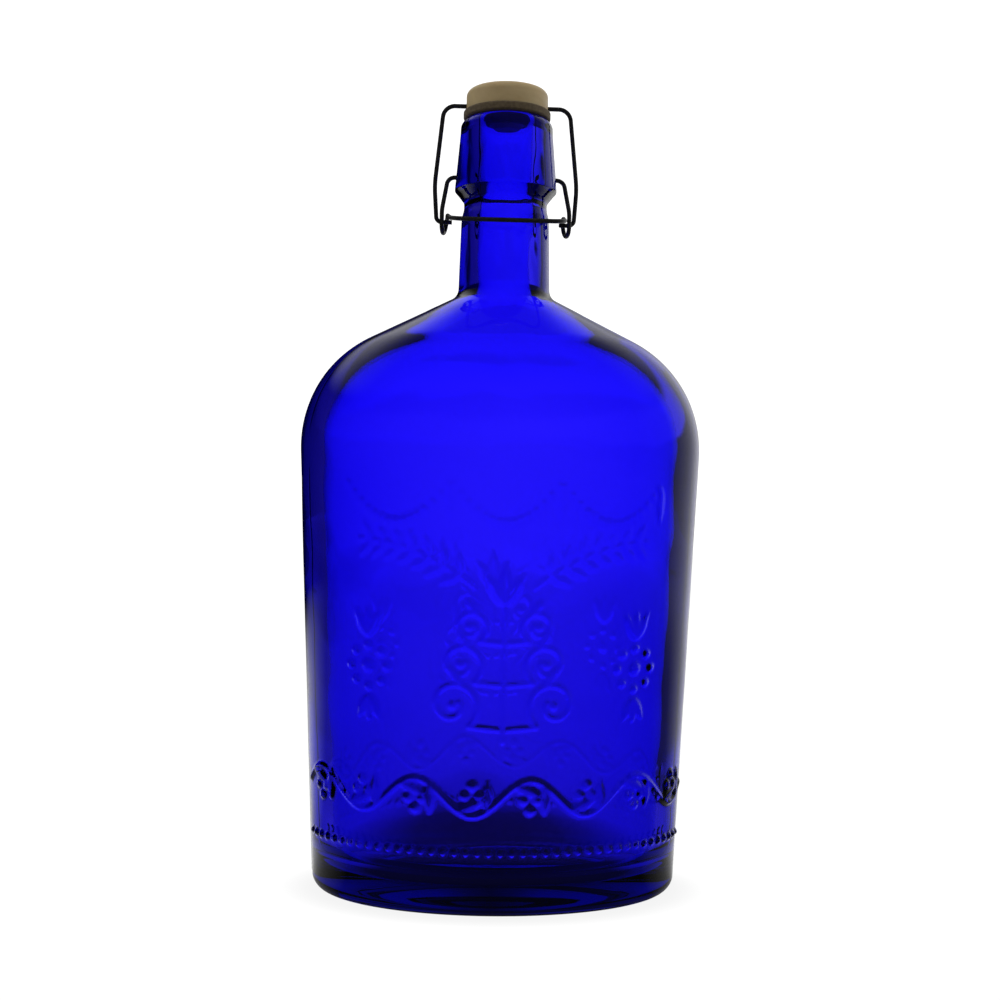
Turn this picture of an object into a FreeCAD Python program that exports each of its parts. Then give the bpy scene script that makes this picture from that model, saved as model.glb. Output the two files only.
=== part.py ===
import FreeCAD
import Part
import Sketcher
import math
import os
import re
from FreeCAD import Placement, Rotation, Vector

# A swing top bottle: a flat oval glass flask with a round neck, closed by a stopper that hangs in a
# wire bail, which a second wire, the lever, pulls down. The origin is the middle of the foot, +Z is
# up and the lever's bar faces -Y. Lengths are in millimetres.

doc = FreeCAD.newDocument("swing_top_bottle")

SIZES = [
    ("body_width", 145.4, "glass, widest, at the shoulder"),
    ("body_depth", 92.0, "glass, front to back at the shoulder"),
    ("base_width", 131.0, "glass, width that the sides run down to at the table"),
    ("shoulder_height", 159.7, "height of the widest point"),
    ("shoulder_radius", 44.0, "round of the shoulder, seen from the front"),
    ("shoulder_rise", 55.1, "widest point up to where the shoulder slope meets the neck"),
    ("neck_root_diameter", 33.2, "neck, at its foot"),
    ("neck_root_fillet", 5.0, "hollow round between shoulder and neck"),
    ("body_wall", 4.0, "glass wall of the broad front and back"),
    ("side_wall", 7.0, "glass wall of the narrow sides"),
    ("shoulder_wall", 4.5, "round of the shoulder, outside less inside"),
    ("floor_thickness", 9.0, "glass under the contents"),
    ("heel_radius", 6.0, "round between side and foot, outside"),
    ("inner_heel_radius", 11.0, "round between side and floor, inside"),
    ("punt_width", 84.0, "push-up under the foot, side to side"),
    ("punt_depth", 46.0, "push-up under the foot, front to back"),
    ("punt_rise", 4.0, "push-up under the foot, height"),
    ("neck_top_diameter", 32.0, "neck, just under the waist"),
    ("neck_length", 28.2, "shoulder slope up to where the neck runs into the waist"),
    ("waist_diameter", 30.2, "waist under the finish"),
    ("waist_rise", 4.0, "top of the neck up to the waist"),
    ("waist_length", 2.2, "straight length of the waist"),
    ("collar_diameter", 37.2, "finish, at its lower edge"),
    ("collar_rise", 4.6, "waist up to the lower edge of the finish"),
    ("collar_round", 0.8, "round on the lower edge of the finish"),
    ("finish_top_diameter", 32.8, "finish, at the lip"),
    ("finish_length", 25.7, "lower edge of the finish up to the lip"),
    ("lip_round", 3.2, "round on the outer edge of the lip"),
    ("mouth_diameter", 19.0, "bore of the mouth and neck"),
    ("mouth_flare", 1.0, "break of the inner edge of the lip"),
    ("pivot_rise", 4.6, "lower edge of the finish up to the two dimples"),
    ("dimple_depth", 3.5, "dimples, from the side of the finish inwards"),
    ("wire_diameter", 1.6, "steel wire of lever and bail"),
    ("running_clearance", 0.3, "room round a wire in its dimple, eye or hole"),
    ("strand_gap", 0.5, "gap between the two strands that cross at an eye"),
    ("link_length", 16.4, "pivot down to the bail's stub"),
    ("eye_bend", 2.8, "bend radius of the lever's eyes, wire middle"),
    ("leg_clearance", 1.7, "finish out to the lever's legs"),
    ("arm_top_clearance", 1.7, "finish out to the lever's arms, level with the pivot"),
    ("arm_top_bend", 3.0, "bend radius from pin to arm"),
    ("arm_foot_rise", 5.0, "height of the arm's last bend above the eye"),
    ("arm_foot_bend", 10.0, "bend radius of the arm's last bend"),
    ("bar_clearance", 2.6, "finish forward to the bar"),
    ("bar_drop", 3.0, "bail's stubs down to the bar"),
    ("bar_inset", 1.1, "ends of the bar, in from the lever's legs"),
    ("lever_corner_bend", 6.0, "bend radius at the ends of the bar"),
    ("leg_bend", 8.0, "bend radius where a leg leaves its eye"),
    ("bail_stub_overhang", 0.6, "stub, past the inner strand of the eye"),
    ("bail_foot_bend", 2.0, "bend radius from stub to leg"),
    ("bail_bow_out", 0.9, "bail's legs, out from the stubs to their widest"),
    ("bail_bow_rise", 13.5, "height of that widest point above the stubs"),
    ("bail_bow_bend", 40.0, "bend radius at the widest point"),
    ("bail_top_in", 3.0, "bail's legs, in from their widest to the top bar"),
    ("bail_corner_bend", 4.5, "bend radius at the top corners"),
    ("seal_gap", 0.2, "lip up to the resting gasket"),
    ("gasket_diameter", 31.8, "gasket flange"),
    ("gasket_thickness", 3.0, "gasket flange"),
    ("gasket_round", 0.7, "round on the flange edges"),
    ("plug_clearance", 0.6, "mouth in to the gasket plug, under the flange"),
    ("plug_taper", 1.4, "gasket plug, taper on each side"),
    ("plug_length", 3.2, "gasket plug"),
    ("stem_diameter", 10.0, "stopper stem inside the gasket"),
    ("stem_fit", 0.05, "room between stem or button and gasket"),
    ("button_lip", 1.3, "retaining button, out from the stem"),
    ("button_taper", 1.8, "retaining button, taper on each side"),
    ("button_thickness", 1.5, "retaining button"),
    ("head_diameter", 29.8, "stopper head"),
    ("head_thickness", 7.8, "stopper head"),
    ("head_round", 2.6, "round on the top edge of the head"),
    ("wire_hole_rise", 1.8, "top bar above the underside of the head"),
]

sheet = doc.addObject("Spreadsheet::Sheet", "Sizes")
for row, (alias, value, meaning) in enumerate(SIZES, start=1):
    sheet.set(f"A{row}", meaning)
    sheet.set(f"B{row}", str(value))
    sheet.setAlias(f"B{row}", alias)
doc.recompute()


ALIASES = {alias for alias, value, meaning in SIZES}


def of_sheet(formula):
    """A formula in the sheet's words, written as the objects of the document need it."""
    return re.sub(r"[a-z_]+", lambda word: f"Sizes.{word[0]}" if word[0] in ALIASES else word[0], formula)


def size(formula):
    """The number that a formula in the sheet's words comes to."""
    found = sheet.evalExpression(of_sheet(formula))
    return float(getattr(found, "Value", found))


def bind(thing, formulas):
    """Ties properties of an object to the sheet."""
    for path, formula in formulas.items():
        thing.setExpression(path, of_sheet(formula))
    return thing


def add(kind, name, formulas=None, **settings):
    """An object of the document with fixed settings and with sizes tied to the sheet."""
    thing = doc.addObject(kind, name)
    for key, value in settings.items():
        setattr(thing, key, value)
    return bind(thing, formulas or {})


# Places that several pieces share, as formulas in the sheet's words.
WIRE_RADIUS = "wire_diameter / 2"
HOLE_RADIUS = "(wire_diameter / 2 + running_clearance)"
NECK_ROOT_HEIGHT = "(shoulder_height + shoulder_rise)"
NECK_TOP_HEIGHT = f"({NECK_ROOT_HEIGHT} + neck_length)"
WAIST_HEIGHT = f"({NECK_TOP_HEIGHT} + waist_rise)"
WAIST_TOP_HEIGHT = f"({WAIST_HEIGHT} + waist_length)"
COLLAR_HEIGHT = f"({WAIST_TOP_HEIGHT} + collar_rise)"
LIP_HEIGHT = f"({COLLAR_HEIGHT} + finish_length)"
PIVOT_HEIGHT = f"({COLLAR_HEIGHT} + pivot_rise)"
FINISH_TAPER = "((collar_diameter - finish_top_diameter) / 2 / finish_length)"
DIMPLE_FLOOR = f"(collar_diameter / 2 - pivot_rise * {FINISH_TAPER} - dimple_depth)"
STUB_HEIGHT = f"({PIVOT_HEIGHT} - link_length)"
FLANGE_HEIGHT = f"({LIP_HEIGHT} + seal_gap)"
HEAD_HEIGHT = f"({FLANGE_HEIGHT} + gasket_thickness)"
TOP_BAR_HEIGHT = f"({HEAD_HEIGHT} + wire_hole_rise)"
PAST_FACE = 1.0
SAME_PLACE = 0.001
ALONG_X = Rotation(Vector(0, 1, 0), 90)


# The flask. Each of its two skins is a loft through ovals. Half the front view is a straight side, the
# round of the shoulder, a straight slope and a hollow round into the neck, each tangent to the next.
SIDE_RINGS = 14
SHOULDER_RINGS = 7
SLOPE_RINGS = 3
ROOT_RINGS = 4


class Skin:
    """Front view of one skin of the flask, as formulas for its heights and half widths."""

    def __init__(self, half_width, half_depth, half_base, shoulder_round, neck_radius, root_round, floor):
        self.neck_radius = neck_radius
        self.root_round = root_round
        self.floor = floor
        self.half_base = half_base
        self.round = shoulder_round
        self.middle = f"({half_width} - {shoulder_round})"
        self.flatness = f"(({half_depth} - {neck_radius}) / ({half_width} - {neck_radius}))"
        inset = f"({neck_radius} - {self.middle})"
        to_neck = f"hypot({inset}; shoulder_rise)"
        self.slope = f"(atan2(shoulder_rise; {inset}) - acos({shoulder_round} / {to_neck}))"
        outset = f"({half_base} - {self.middle})"
        to_foot = f"hypot({outset}; shoulder_height)"
        self.lean = f"(acos({shoulder_round} / {to_foot}) - atan2(shoulder_height; {outset}))"
        self.neck_foot = f"({NECK_ROOT_HEIGHT} + {root_round} * tan({self.slope} / 2))"

    def on_shoulder(self, angle):
        height = f"(shoulder_height + {self.round} * sin({angle}))"
        return height, f"({self.middle} + {self.round} * cos({angle}))"

    def on_root(self, angle):
        height = f"({self.neck_foot} - {self.root_round} * sin({angle}))"
        return height, f"({self.neck_radius} + {self.root_round} - {self.root_round} * cos({angle}))"

    def stations(self):
        """Height and half width of each oval below the neck, from the floor up."""
        side_top, side_width = self.on_shoulder(self.lean)
        slope_foot, slope_width = self.on_shoulder(self.slope)
        root_foot, root_width = self.on_root(self.slope)
        found = []
        for ring in range(SIDE_RINGS):
            height = f"({self.floor} + ({side_top} - {self.floor}) * {ring} / {SIDE_RINGS})"
            widening = f"({side_width} - {self.half_base}) * {height} / {side_top}"
            found.append((height, f"({self.half_base} + {widening})"))
        for ring in range(SHOULDER_RINGS):
            angle = f"({self.lean} + ({self.slope} - {self.lean}) * {ring} / {SHOULDER_RINGS - 1})"
            found.append(self.on_shoulder(angle))
        for ring in range(1, SLOPE_RINGS + 1):
            share = f"{ring} / {SLOPE_RINGS + 1}"
            height = f"({slope_foot} + ({root_foot} - {slope_foot}) * {share})"
            found.append((height, f"({slope_width} + ({root_width} - {slope_width}) * {share})"))
        for ring in range(ROOT_RINGS, 0, -1):
            found.append(self.on_root(f"({self.slope} * {ring} / {ROOT_RINGS})"))
        return found

    def loft(self, name):
        rings = []
        for index, (height, half_width) in enumerate(self.stations()):
            half_depth = f"{self.neck_radius} + ({half_width} - {self.neck_radius}) * {self.flatness}"
            shape = {"Placement.Base.z": height, "MajorRadius": half_width, "MinorRadius": half_depth}
            rings.append(add("Part::Ellipse", f"{name}_oval_{index}", shape))
        shape = {"Placement.Base.z": self.neck_foot, "Radius": self.neck_radius}
        rings.append(add("Part::Circle", f"{name}_neck_foot", shape))
        doc.recompute()
        return add("Part::Loft", f"{name}_loft", Sections=rings, Solid=True, Ruled=False)


def round_foot(blank, name, radius):
    """Rounds the lowest edge of a lofted skin."""
    doc.recompute()
    lowest = min(vertex.Z for vertex in blank.Shape.Vertexes)
    foot = []
    for index, edge in enumerate(blank.Shape.Edges, start=1):
        if all(abs(vertex.Z - lowest) < SAME_PLACE for vertex in edge.Vertexes):
            foot.append((index, size(radius), size(radius)))
    return add("Part::Fillet", name, Base=blank, Edges=foot)


# A dome's rim is cut half way up its sphere-like cap, where it is this share of its full width.
DOME_RIM_SHARE = math.sqrt(3) / 2


def push_up(name, plane):
    """The shallow oval dome under the foot, or the swell that it leaves in the floor."""
    return add("Part::Ellipsoid", name, {
        "Placement.Base.z": f"{plane} - punt_rise",
        "Radius1": "2 * punt_rise",
        "Radius2": f"punt_width / 2 / {DOME_RIM_SHARE}",
        "Radius3": f"punt_depth / 2 / {DOME_RIM_SHARE}",
    })


def turned_body(name, corners):
    """A body of revolution about Z, from the corners of half its section as (radius, height) formulas."""
    body = doc.addObject("PartDesign::Body", name)
    plane = next(f for f in body.Origin.OriginFeatures if f.Role == "XZ_Plane")
    sketch = body.newObject("Sketcher::SketchObject", f"{name}_section")
    sketch.AttachmentSupport = (plane, [""])
    sketch.MapMode = "FlatFace"
    spots = [Vector(size(radius), size(height), 0) for radius, height in corners]
    for index, spot in enumerate(spots):
        sketch.addGeometry(Part.LineSegment(spot, spots[(index + 1) % len(spots)]))
    origin, start, end, vertical_axis = -1, 1, 2, -2
    sketch_constraint = Sketcher.Constraint
    for index, (radius, height) in enumerate(corners):
        following = (index + 1) % len(corners)
        sketch.addConstraint(sketch_constraint("Coincident", index, end, following, start))
        if radius == "0":
            sketch.addConstraint(sketch_constraint("PointOnObject", index, start, vertical_axis))
        else:
            row = sketch.addConstraint(
                sketch_constraint("DistanceX", origin, start, index, start, spots[index].x))
            sketch.setExpression(f"Constraints[{row}]", of_sheet(radius))
        row = sketch.addConstraint(
            sketch_constraint("DistanceY", origin, start, index, start, spots[index].y))
        sketch.setExpression(f"Constraints[{row}]", of_sheet(height))
    turned = body.newObject("PartDesign::Revolution", f"{name}_turned")
    turned.Profile = sketch
    turned.ReferenceAxis = (sketch, ["V_Axis"])
    turned.Angle = 360
    doc.recompute()
    return body


def round_rims(body, name, radius, rims):
    """Rounds the circular edges of a turned body that lie at the given (radius, height) corners."""
    turned = body.Tip
    names = []
    for rim_radius, height in rims:
        rim = Vector(size(rim_radius), 0, size(height))
        for index, edge in enumerate(turned.Shape.Edges, start=1):
            if not isinstance(edge.Curve, Part.Circle):
                continue
            found = Vector(edge.Curve.Radius, 0, edge.Curve.Center.z)
            if found.distanceToPoint(rim) < SAME_PLACE:
                names.append(f"Edge{index}")
    rounded = body.newObject("PartDesign::Fillet", name)
    rounded.Base = (turned, names)
    bind(rounded, {"Radius": radius})
    doc.recompute()
    return rounded


outer = Skin("body_width / 2", "body_depth / 2", "base_width / 2", "shoulder_radius",
             "neck_root_diameter / 2", "neck_root_fillet", "0")
inner = Skin("(body_width / 2 - side_wall)", "(body_depth / 2 - body_wall)", "(base_width / 2 - side_wall)",
             "(shoulder_radius - shoulder_wall)", "mouth_diameter / 2", "(neck_root_fillet + body_wall)",
             "floor_thickness")

# The neck and finish: a slightly tapered neck, the waist that the lever's wire lies beside, and the
# finish that tapers from its lower edge to the rounded lip.
finish_corners = [
    ("0", outer.neck_foot),
    ("neck_root_diameter / 2", outer.neck_foot),
    ("neck_top_diameter / 2", NECK_TOP_HEIGHT),
    ("waist_diameter / 2", WAIST_HEIGHT),
    ("waist_diameter / 2", WAIST_TOP_HEIGHT),
    ("collar_diameter / 2", COLLAR_HEIGHT),
    ("finish_top_diameter / 2", LIP_HEIGHT),
    ("0", LIP_HEIGHT),
]
neck = turned_body("neck", finish_corners)
round_rims(neck, "lip_round_edge", "lip_round", [finish_corners[6]])
round_rims(neck, "collar_round_edge", "collar_round", [finish_corners[5]])

# The bore runs from the hollow of the shoulder up through the lip, whose inner edge is broken.
bore = turned_body("bore", [
    ("0", inner.neck_foot),
    ("mouth_diameter / 2", inner.neck_foot),
    ("mouth_diameter / 2", f"{LIP_HEIGHT} - mouth_flare"),
    ("mouth_diameter / 2 + mouth_flare", LIP_HEIGHT),
    ("mouth_diameter / 2 + mouth_flare", f"{LIP_HEIGHT} + {PAST_FACE}"),
    ("0", f"{LIP_HEIGHT} + {PAST_FACE}"),
])

outer_blank = round_foot(outer.loft("outer"), "heel", "heel_radius")
blank = add("Part::Cut", "outer_skin", Base=outer_blank, Tool=push_up("punt", "0"))
hollow = round_foot(inner.loft("inner"), "inner_heel", "inner_heel_radius")
hollow = add("Part::Cut", "inner_skin", Base=hollow, Tool=push_up("floor_swell", "floor_thickness"))
hollow = add("Part::Fuse", "hollow", Base=hollow, Tool=bore)

# The glass is one piece. It is kept as two solids that meet level at the foot of the neck, because the
# flask and the tube of the neck are simpler shapes apart, and what they enclose stays open.
glass_flask = add("Part::Cut", "glass_flask", Base=blank, Tool=hollow)
glass_tube = add("Part::Cut", "glass_tube", Base=neck, Tool=hollow)

# The two blind dimples in the sides of the finish take the ends of the lever's wire.
dimple_length = f"(collar_diameter / 2 - {DIMPLE_FLOOR} + {PAST_FACE})"
dimples = []
for name, side in (("right", 1), ("left", -1)):
    start = DIMPLE_FLOOR if side > 0 else f"-{DIMPLE_FLOOR} - {dimple_length}"
    dimples.append(add("Part::Cylinder", f"dimple_{name}", Placement=Placement(Vector(), ALONG_X)))
    bind(dimples[-1], {"Placement.Base.x": start, "Placement.Base.z": PIVOT_HEIGHT,
                       "Radius": HOLE_RADIUS, "Height": dimple_length})
dimple_pair = add("Part::MultiFuse", "dimples", Shapes=dimples)
glass_neck = add("Part::Cut", "glass_neck", Base=glass_tube, Tool=dimple_pair)


# The two wires. Each path is straight runs joined by tangent arcs, made for one side and mirrored.
def mirrored(points):
    return [Vector(-point.x, point.y, point.z) for point in reversed(points)]


def bent_path(points, bends):
    """Straight runs through the points, with an arc of the given radius at each point in between."""
    edges = []
    last = points[0]
    for before, corner, after, radius in zip(points, points[1:], points[2:], bends):
        back = (before - corner).normalize()
        ahead = (after - corner).normalize()
        half_angle = back.getAngle(ahead) / 2
        run_in = corner + back * (radius / math.tan(half_angle))
        run_out = corner + ahead * (radius / math.tan(half_angle))
        to_middle = (back + ahead).normalize()
        crown = corner + to_middle * (radius / math.sin(half_angle) - radius)
        edges.append(Part.LineSegment(last, run_in).toShape())
        edges.append(Part.Arc(run_in, crown, run_out).toShape())
        last = run_out
    edges.append(Part.LineSegment(last, points[-1]).toShape())
    return Part.Wire(edges)


def wire_piece(name, points, bends):
    """A round wire swept along the bent path."""
    path = add("Part::Feature", f"{name}_path", Shape=bent_path(points, bends))
    section = add("Part::Circle", f"{name}_section", {"Radius": WIRE_RADIUS})
    section.Placement = Placement(points[0], Rotation(Vector(0, 0, 1), points[1] - points[0]))
    edges = [f"Edge{index + 1}" for index in range(len(path.Shape.Edges))]
    swept = add("Part::Sweep", name, Sections=[section], Spine=(path, edges), Solid=True, Frenet=False)
    doc.recompute()
    expected = math.pi * size(WIRE_RADIUS) ** 2 * path.Shape.Length
    print(f"{name}: length {path.Shape.Length:.1f} mm, volume {swept.Shape.Volume:.1f} of {expected:.1f} mm3")
    return swept, path


# The lever: a pin in each dimple, an arm down to an eye, once round the eye, and a leg forward to the bar.
pivot_height = size(PIVOT_HEIGHT)
stub_height = size(STUB_HEIGHT)
leg_side = size("collar_diameter / 2 + leg_clearance + wire_diameter / 2")
arm_side = leg_side + size("wire_diameter + strand_gap")
turn_side = (arm_side + leg_side) / 2
BEND_RELIEF = 0.1
eye_half = size("eye_bend") + BEND_RELIEF
eye_top = stub_height + size("wire_diameter + running_clearance")
eye_foot = eye_top - 2 * eye_half
bar_reach = size("collar_diameter / 2 + bar_clearance + wire_diameter / 2")
lever_side = [
    Vector(size(f"{DIMPLE_FLOOR} + running_clearance"), 0, pivot_height),
    Vector(size("collar_diameter / 2 + arm_top_clearance + wire_diameter / 2"), 0, pivot_height),
    Vector(arm_side, -eye_half, eye_top + size("arm_foot_rise") - eye_half),
    Vector(arm_side, -eye_half, eye_foot),
    Vector(turn_side, eye_half, eye_foot),
    Vector(leg_side, eye_half, eye_top),
    Vector(leg_side, -eye_half, eye_top),
    Vector(leg_side - size("bar_inset"), -bar_reach, stub_height - size("bar_drop")),
]
lever_bends = [size(name) for name in ("arm_top_bend", "arm_foot_bend", "eye_bend", "eye_bend", "eye_bend",
                                       "leg_bend", "lever_corner_bend")]
lever_wire, lever_path = wire_piece("lever_wire", lever_side + mirrored(lever_side),
                                    lever_bends + lever_bends[::-1])

# The bail: a stub through each eye of the lever, a bowed leg, and the top bar through the stopper.
bail_foot_side = arm_side + size("wire_diameter + running_clearance")
bail_side = [
    Vector(leg_side - size("wire_diameter / 2 + bail_stub_overhang"), 0, stub_height),
    Vector(bail_foot_side, 0, stub_height),
    Vector(bail_foot_side + size("bail_bow_out"), 0, stub_height + size("bail_bow_rise")),
    Vector(bail_foot_side + size("bail_bow_out - bail_top_in"), 0, size(TOP_BAR_HEIGHT)),
]
bail_bends = [size(name) for name in ("bail_foot_bend", "bail_bow_bend", "bail_corner_bend")]
bail_wire, bail_path = wire_piece("bail_wire", bail_side + mirrored(bail_side), bail_bends + bail_bends[::-1])

# The stopper: a flat round head, a stem that carries the gasket and a button that keeps it on.
PLUG_FOOT = f"({FLANGE_HEIGHT} - plug_length)"
BUTTON_TOP = f"({PLUG_FOOT} - stem_fit)"
HEAD_TOP = f"({HEAD_HEIGHT} + head_thickness)"
stopper_corners = [
    ("0", f"{BUTTON_TOP} - button_thickness"),
    ("stem_diameter / 2 + button_lip - button_taper", f"{BUTTON_TOP} - button_thickness"),
    ("stem_diameter / 2 + button_lip", BUTTON_TOP),
    ("stem_diameter / 2", BUTTON_TOP),
    ("stem_diameter / 2", HEAD_HEIGHT),
    ("head_diameter / 2", HEAD_HEIGHT),
    ("head_diameter / 2", HEAD_TOP),
    ("0", HEAD_TOP),
]
stopper_blank = turned_body("stopper_blank", stopper_corners)
round_rims(stopper_blank, "head_round_edge", "head_round", [stopper_corners[6]])
wire_hole = add("Part::Cylinder", "wire_hole", Placement=Placement(Vector(), ALONG_X))
bind(wire_hole, {"Placement.Base.x": f"-head_diameter / 2 - {PAST_FACE}", "Placement.Base.z": TOP_BAR_HEIGHT,
                 "Radius": HOLE_RADIUS, "Height": f"head_diameter + 2 * {PAST_FACE}"})
stopper_head = add("Part::Cut", "stopper_head", Base=stopper_blank, Tool=wire_hole)

# The gasket: a flange that seals on the lip and a tapered plug that reaches into the mouth.
gasket_corners = [
    ("stem_diameter / 2 + stem_fit", PLUG_FOOT),
    ("mouth_diameter / 2 - plug_clearance - plug_taper", PLUG_FOOT),
    ("mouth_diameter / 2 - plug_clearance", FLANGE_HEIGHT),
    ("gasket_diameter / 2", FLANGE_HEIGHT),
    ("gasket_diameter / 2", HEAD_HEIGHT),
    ("stem_diameter / 2 + stem_fit", HEAD_HEIGHT),
]
gasket = turned_body("gasket", gasket_corners)
round_rims(gasket, "flange_round_edge", "gasket_round", gasket_corners[3:5])
doc.recompute()


POINT_STEP = 0.4
STRAND_LENGTH = 6.4


def least_gap(path):
    """The least gap between strands of one wire, on points that lie a strand's length apart along it."""
    apart = round(STRAND_LENGTH / POINT_STEP)
    points = path.Shape.discretize(Distance=POINT_STEP)
    pairs = ((first, second) for index, first in enumerate(points) for second in points[index + apart:])
    return min(first.distanceToPoint(second) for first, second in pairs) - size("wire_diameter")


for path in (lever_path, bail_path):
    print(f"{path.Label}: least gap to itself {least_gap(path):.2f} mm")

for thing in doc.Objects:
    if {"Invalid", "Error"} & set(thing.State):
        raise RuntimeError(f"{thing.Label} failed: {thing.State}")
nodes = [glass_flask, glass_neck, lever_wire, bail_wire, stopper_head, gasket]
for node in nodes:
    if node.Shape.isNull() or not node.Shape.isValid() or len(node.Shape.Solids) != 1:
        raise RuntimeError(f"{node.Label} is not one valid solid")
os.makedirs("parts", exist_ok=True)
for node in nodes:
    node.Shape.exportStep(f"parts/{node.Label}.step")
    print(f"{node.Label}: {node.Shape.Volume / 1000:.2f} cm3")
print(f"inside volume {hollow.Shape.Volume / 1e6:.2f} litres to the brim")
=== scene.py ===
import math

import bpy
import numpy as np
from mathutils import Matrix, Vector, kdtree


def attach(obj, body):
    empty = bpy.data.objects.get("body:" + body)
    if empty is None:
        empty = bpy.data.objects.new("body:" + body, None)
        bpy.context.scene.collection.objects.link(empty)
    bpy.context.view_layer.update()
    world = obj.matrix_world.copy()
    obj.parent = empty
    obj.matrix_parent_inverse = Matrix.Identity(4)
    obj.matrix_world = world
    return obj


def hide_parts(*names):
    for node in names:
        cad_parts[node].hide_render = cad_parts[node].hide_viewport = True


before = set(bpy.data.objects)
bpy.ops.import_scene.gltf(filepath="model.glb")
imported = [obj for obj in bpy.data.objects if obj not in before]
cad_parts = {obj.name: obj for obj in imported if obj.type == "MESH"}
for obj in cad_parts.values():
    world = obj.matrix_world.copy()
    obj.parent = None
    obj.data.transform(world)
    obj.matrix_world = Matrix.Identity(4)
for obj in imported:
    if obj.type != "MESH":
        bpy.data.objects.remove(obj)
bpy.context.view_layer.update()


# The glass bottle: one piece of cobalt soda-lime glass, a flat oval flask with a round neck. It is blown in
# a two-part iron mould, which leaves the raised ornament, the faint seams on the sides and a gently uneven
# inner skin. The neck and its thick finish are pressed first. Sizes are in mm until the mesh is made.
MM = 0.001
BODY_WALL = 4.0
SIDE_WALL = 7.0
SHOULDER_WALL = 4.5
FLASK_HALF_WIDTH = 72.7
FLASK_HALF_DEPTH = 46.0
FLASK_HALF_BASE = 65.5
SHOULDER_HEIGHT = 159.7
SHOULDER_RADIUS = 44.0
NECK_ROOT_HEIGHT = 214.8
NECK_ROOT_RADIUS = 16.6
NECK_ROOT_FILLET = 5.0
HEEL_RADIUS = 6.0
INNER_HEEL_RADIUS = 11.0
FLOOR_THICKNESS = 9.0
PUNT_HALF_WIDTH = 42.0
PUNT_HALF_DEPTH = 23.0
PUNT_RISE = 4.0
MOUTH_RADIUS = 9.5
HEEL_STEPS = 10
SHOULDER_STEPS = 26
ROOT_STEPS = 10
SLOPE_STEP = 3.0
DOME_STEPS = 14
FLAT_STEPS = 5


def arc(middle, radius, start, end, steps):
    """Points on an arc of half the section, as (distance from the axis, height), angles in degrees."""
    angles = [math.radians(start + (end - start) * step / steps) for step in range(steps + 1)]
    return [(middle[0] + radius * math.cos(a), middle[1] + radius * math.sin(a)) for a in angles]


def spaced(first, last, step):
    """Points on a straight run, about a step apart, without the last one."""
    count = max(1, round(math.dist(first, last) / step))
    return [tuple(np.array(first) + (np.array(last) - np.array(first)) * i / count) for i in range(count)]


def flask_side(half_width, half_base, shoulder_radius, neck_radius, root_fillet):
    """Middle and tangent angles of the shoulder's round, and the height where the neck's root fillet ends."""
    middle = half_width - shoulder_radius
    outset = half_base - middle
    lean = math.acos(shoulder_radius / math.hypot(outset, SHOULDER_HEIGHT))
    lean -= math.atan2(SHOULDER_HEIGHT, outset)
    inset = neck_radius - middle
    rise = NECK_ROOT_HEIGHT - SHOULDER_HEIGHT
    slope = math.atan2(rise, inset) - math.acos(shoulder_radius / math.hypot(inset, rise))
    neck_foot = NECK_ROOT_HEIGHT + root_fillet * math.tan(slope / 2)
    return middle, math.degrees(lean), math.degrees(slope), neck_foot


def skin_rings(half_width, half_depth, half_base, shoulder_radius, neck_radius, root_fillet,
               floor, heel, rows):
    """Half width, half depth and height of the ovals of one skin of the flask, from the foot to the neck."""
    middle, lean, slope, neck_foot = flask_side(half_width, half_base, shoulder_radius,
                                                neck_radius, root_fillet)
    flatness = (half_depth - neck_radius) / (half_width - neck_radius)
    side_top = arc((middle, SHOULDER_HEIGHT), shoulder_radius, lean, lean, 1)[0]

    def side(z):
        return half_base + (side_top[0] - half_base) * z / side_top[1], z

    def depth(a):
        return neck_radius + (a - neck_radius) * flatness

    rings = []
    heel_width = side(floor + heel)[0]
    for step in range(HEEL_STEPS):
        angle = math.radians(90 * step / HEEL_STEPS)
        inset = heel * (1 - math.sin(angle))
        rings.append((heel_width - inset, depth(heel_width) - inset, floor + heel * (1 - math.cos(angle))))
    section = []
    foot = floor + heel
    for top, step in rows:
        section += spaced(side(foot), side(top), step)
        foot = top
    section += spaced(side(foot), side_top, rows[-1][1])
    section += arc((middle, SHOULDER_HEIGHT), shoulder_radius, lean, slope, SHOULDER_STEPS)
    root = arc((neck_radius + root_fillet, neck_foot), root_fillet, 180 + slope, 180, ROOT_STEPS)
    section += spaced(section[-1], root[0], SLOPE_STEP)[1:]
    section += root
    return rings + [(a, depth(a), z) for a, z in section]


def dome_rings(plane):
    """Ovals of the shallow dome under the foot, or of the swell that it leaves in the floor."""
    rings = []
    for step in range(1, DOME_STEPS + 1):
        share = step / DOME_STEPS
        height = 2 * PUNT_RISE * math.sqrt(1 - 0.75 * share * share) - PUNT_RISE
        rings.append((PUNT_HALF_WIDTH * share, PUNT_HALF_DEPTH * share, plane + height))
    return rings


def flat_rings(inner, outer):
    """Ovals between two others, without those two."""
    first, last = np.array(inner), np.array(outer)
    return [tuple(first + (last - first) * step / (FLAT_STEPS + 1)) for step in range(1, FLAT_STEPS + 1)]


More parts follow.
